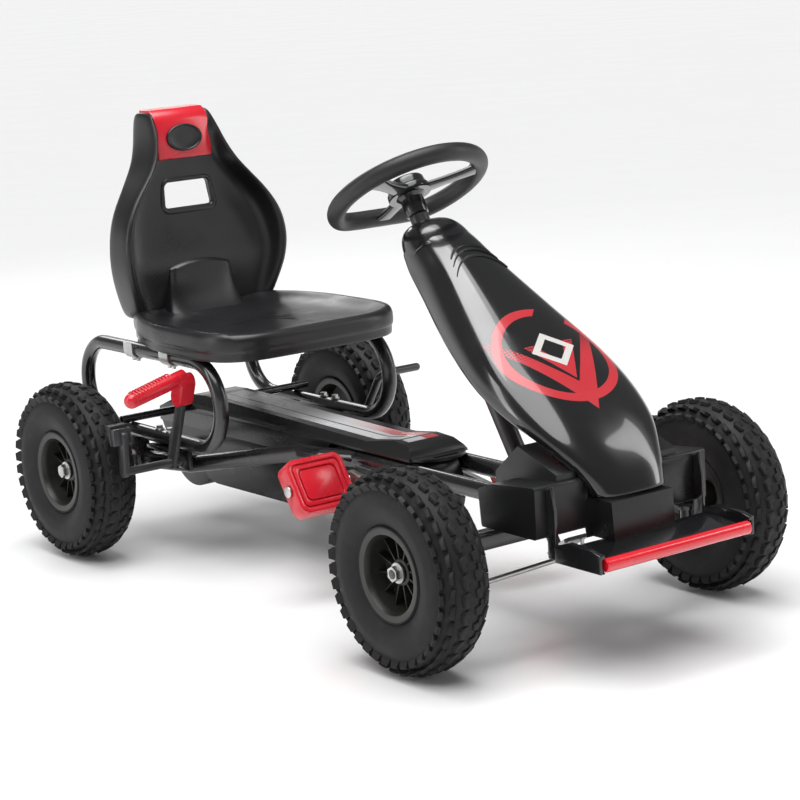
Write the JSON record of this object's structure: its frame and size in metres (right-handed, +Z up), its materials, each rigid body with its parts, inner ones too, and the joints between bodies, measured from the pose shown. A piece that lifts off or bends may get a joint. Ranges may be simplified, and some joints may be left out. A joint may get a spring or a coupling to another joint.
{
  "type": "pedal go kart",
  "caption": "Child's pedal go kart with a black tube frame, chain drive, steered front wheels, moulded seat, long bonnet, hand brake and red trim",
  "frame": {"origin": "on the ground, under the middle of the kart's length and width", "axes": "+Z up; the kart faces -Y; +X is the driver's left"},
  "size_m": [0.585, 1.1754, 0.637],
  "materials": {
    "frame_paint": "gloss",
    "zinc_steel": "satin",
    "bush_plastic": "matte",
    "case_plastic": "satin",
    "gloss_black_plastic": "gloss",
    "red_paint": "gloss",
    "red_plastic": "satin",
    "grip_rubber": "matte",
    "column_paint": "satin",
    "tyre_rubber": "matte",
    "rim_plastic": "satin",
    "seat_plastic": "satin"
  },
  "bodies": {
    "frame": {"main_rails": "frame_paint", "seat_hoop_left": "frame_paint", "seat_hoop_right": "frame_paint", "axle_carriers": "frame_paint", "axle_bearings": "zinc_steel", "hoop_brackets": "frame_paint", "frame_bolts": "zinc_steel", "cross_tube": "frame_paint", "crank_hangers": "frame_paint", "crank_bearings": "zinc_steel", "front_beam": "frame_paint", "kingpins": "zinc_steel", "head_tube": "frame_paint", "column_bushes": "bush_plastic", "chain_cover": "case_plastic", "chain_tray": "case_plastic", "chain": "zinc_steel", "bonnet": "gloss_black_plastic", "nose_cowl": "case_plastic", "nose_fins": "gloss_black_plastic", "front_wing": "gloss_black_plastic", "bumper_bar": "red_paint"},
    "steering": {"steering_grip": "grip_rubber", "steering_spider": "gloss_black_plastic", "steering_cap": "gloss_black_plastic", "steering_rod": "column_paint", "pitman_arm": "zinc_steel"},
    "knuckle_left": {"knuckle_left": "frame_paint", "wheel_nut_front_left": "zinc_steel"},
    "knuckle_right": {"knuckle_right": "frame_paint", "wheel_nut_front_right": "zinc_steel"},
    "tie_rod_left": {"tie_rod_left": "zinc_steel"},
    "tie_rod_right": {"tie_rod_right": "zinc_steel"},
    "wheel_front_left": {"tyre_front_left": "tyre_rubber", "rim_front_left": "rim_plastic", "hub_bushes_front_left": "bush_plastic"},
    "wheel_front_right": {"tyre_front_right": "tyre_rubber", "rim_front_right": "rim_plastic", "hub_bushes_front_right": "bush_plastic"},
    "rear_axle": {"rear_axle": "zinc_steel", "axle_sprocket": "zinc_steel", "tyre_rear_right": "tyre_rubber", "rim_rear_right": "rim_plastic", "wheel_nuts_rear": "zinc_steel"},
    "wheel_rear_left": {"tyre_rear_left": "tyre_rubber", "rim_rear_left": "rim_plastic", "hub_bushes_rear_left": "bush_plastic"},
    "crank": {"crank": "zinc_steel", "chain_ring": "zinc_steel"},
    "pedal_left": {"pedal_left": "red_plastic"},
    "pedal_right": {"pedal_right": "red_plastic"},
    "brake": {"brake_lever": "column_paint", "brake_grip": "red_plastic", "brake_shoe": "grip_rubber"},
    "shift": {"shift_lever": "column_paint"},
    "seat": {"seat_base": "seat_plastic", "seat_back": "seat_plastic", "headrest_insert": "red_plastic", "headrest_badge": "seat_plastic", "seat_clamps": "zinc_steel"}
  },
  "joints": [
    {"name": "steering_turn", "type": "hinge", "parent": "frame", "child": "steering", "pos_m": [0, -0.07325, 0.5475], "axis": [0, 0.5299, 0.848], "range_deg": [-25, 25]},
    {"name": "knuckle_left_turn", "type": "hinge", "parent": "frame", "child": "knuckle_left", "pos_m": [0.17, -0.37025, 0.145], "axis": [0, 0, 1], "range_deg": [-25, 25]},
    {"name": "knuckle_right_turn", "type": "hinge", "parent": "frame", "child": "knuckle_right", "pos_m": [-0.17, -0.37025, 0.145], "axis": [0, 0, 1], "range_deg": [-25, 25]},
    {"name": "tie_rod_left_turn", "type": "hinge", "parent": "knuckle_left", "child": "tie_rod_left", "pos_m": [0.176, -0.40425, 0.10121], "axis": [0, 0, 1], "range_deg": [-25, 25]},
    {"name": "tie_rod_right_turn", "type": "hinge", "parent": "knuckle_right", "child": "tie_rod_right", "pos_m": [-0.176, -0.40425, 0.10121], "axis": [0, 0, 1], "range_deg": [-25, 25]},
    {"name": "wheel_front_left_spin", "type": "hinge", "parent": "knuckle_left", "child": "wheel_front_left", "pos_m": [0.25, -0.37025, 0.13], "axis": [1, 0, 0], "continuous": true},
    {"name": "wheel_front_right_spin", "type": "hinge", "parent": "knuckle_right", "child": "wheel_front_right", "pos_m": [-0.25, -0.37025, 0.13], "axis": [1, 0, 0], "continuous": true},
    {"name": "rear_axle_spin", "type": "hinge", "parent": "frame", "child": "rear_axle", "pos_m": [0, 0.44975, 0.13], "axis": [1, 0, 0], "continuous": true},
    {"name": "wheel_rear_left_spin", "type": "hinge", "parent": "rear_axle", "child": "wheel_rear_left", "pos_m": [0.25, 0.44975, 0.13], "axis": [1, 0, 0], "continuous": true},
    {"name": "crank_spin", "type": "hinge", "parent": "frame", "child": "crank", "pos_m": [0, -0.0706, 0.14], "axis": [1, 0, 0], "continuous": true},
    {"name": "pedal_left_spin", "type": "hinge", "parent": "crank", "child": "pedal_left", "pos_m": [0.124, -0.14577, 0.12877], "axis": [1, 0, 0], "continuous": true},
    {"name": "pedal_right_spin", "type": "hinge", "parent": "crank", "child": "pedal_right", "pos_m": [-0.124, 0.00456, 0.15123], "axis": [1, 0, 0], "continuous": true},
    {"name": "brake_pull", "type": "hinge", "parent": "frame", "child": "brake", "pos_m": [-0.17, 0.30775, 0.146], "axis": [-1, 0, 0], "range_deg": [0, 12]},
    {"name": "shift_move", "type": "hinge", "parent": "frame", "child": "shift", "pos_m": [0.17, 0.30775, 0.146], "axis": [-1, 0, 0], "range_deg": [0, 24]},
    {"name": "seat_slide", "type": "slide", "parent": "frame", "child": "seat", "axis": [0, 1, 0], "range_m": [-0.05, 0.05]}
  ],
  "couplings": [
    {"joint": "knuckle_left_turn", "follows": "steering_turn", "ratio": 0.8603},
    {"joint": "knuckle_right_turn", "follows": "steering_turn", "ratio": 0.8603},
    {"joint": "tie_rod_left_turn", "follows": "steering_turn", "ratio": -0.8895},
    {"joint": "tie_rod_right_turn", "follows": "steering_turn", "ratio": -0.8895},
    {"joint": "crank_spin", "follows": "rear_axle_spin", "ratio": 0.66667}
  ]
}
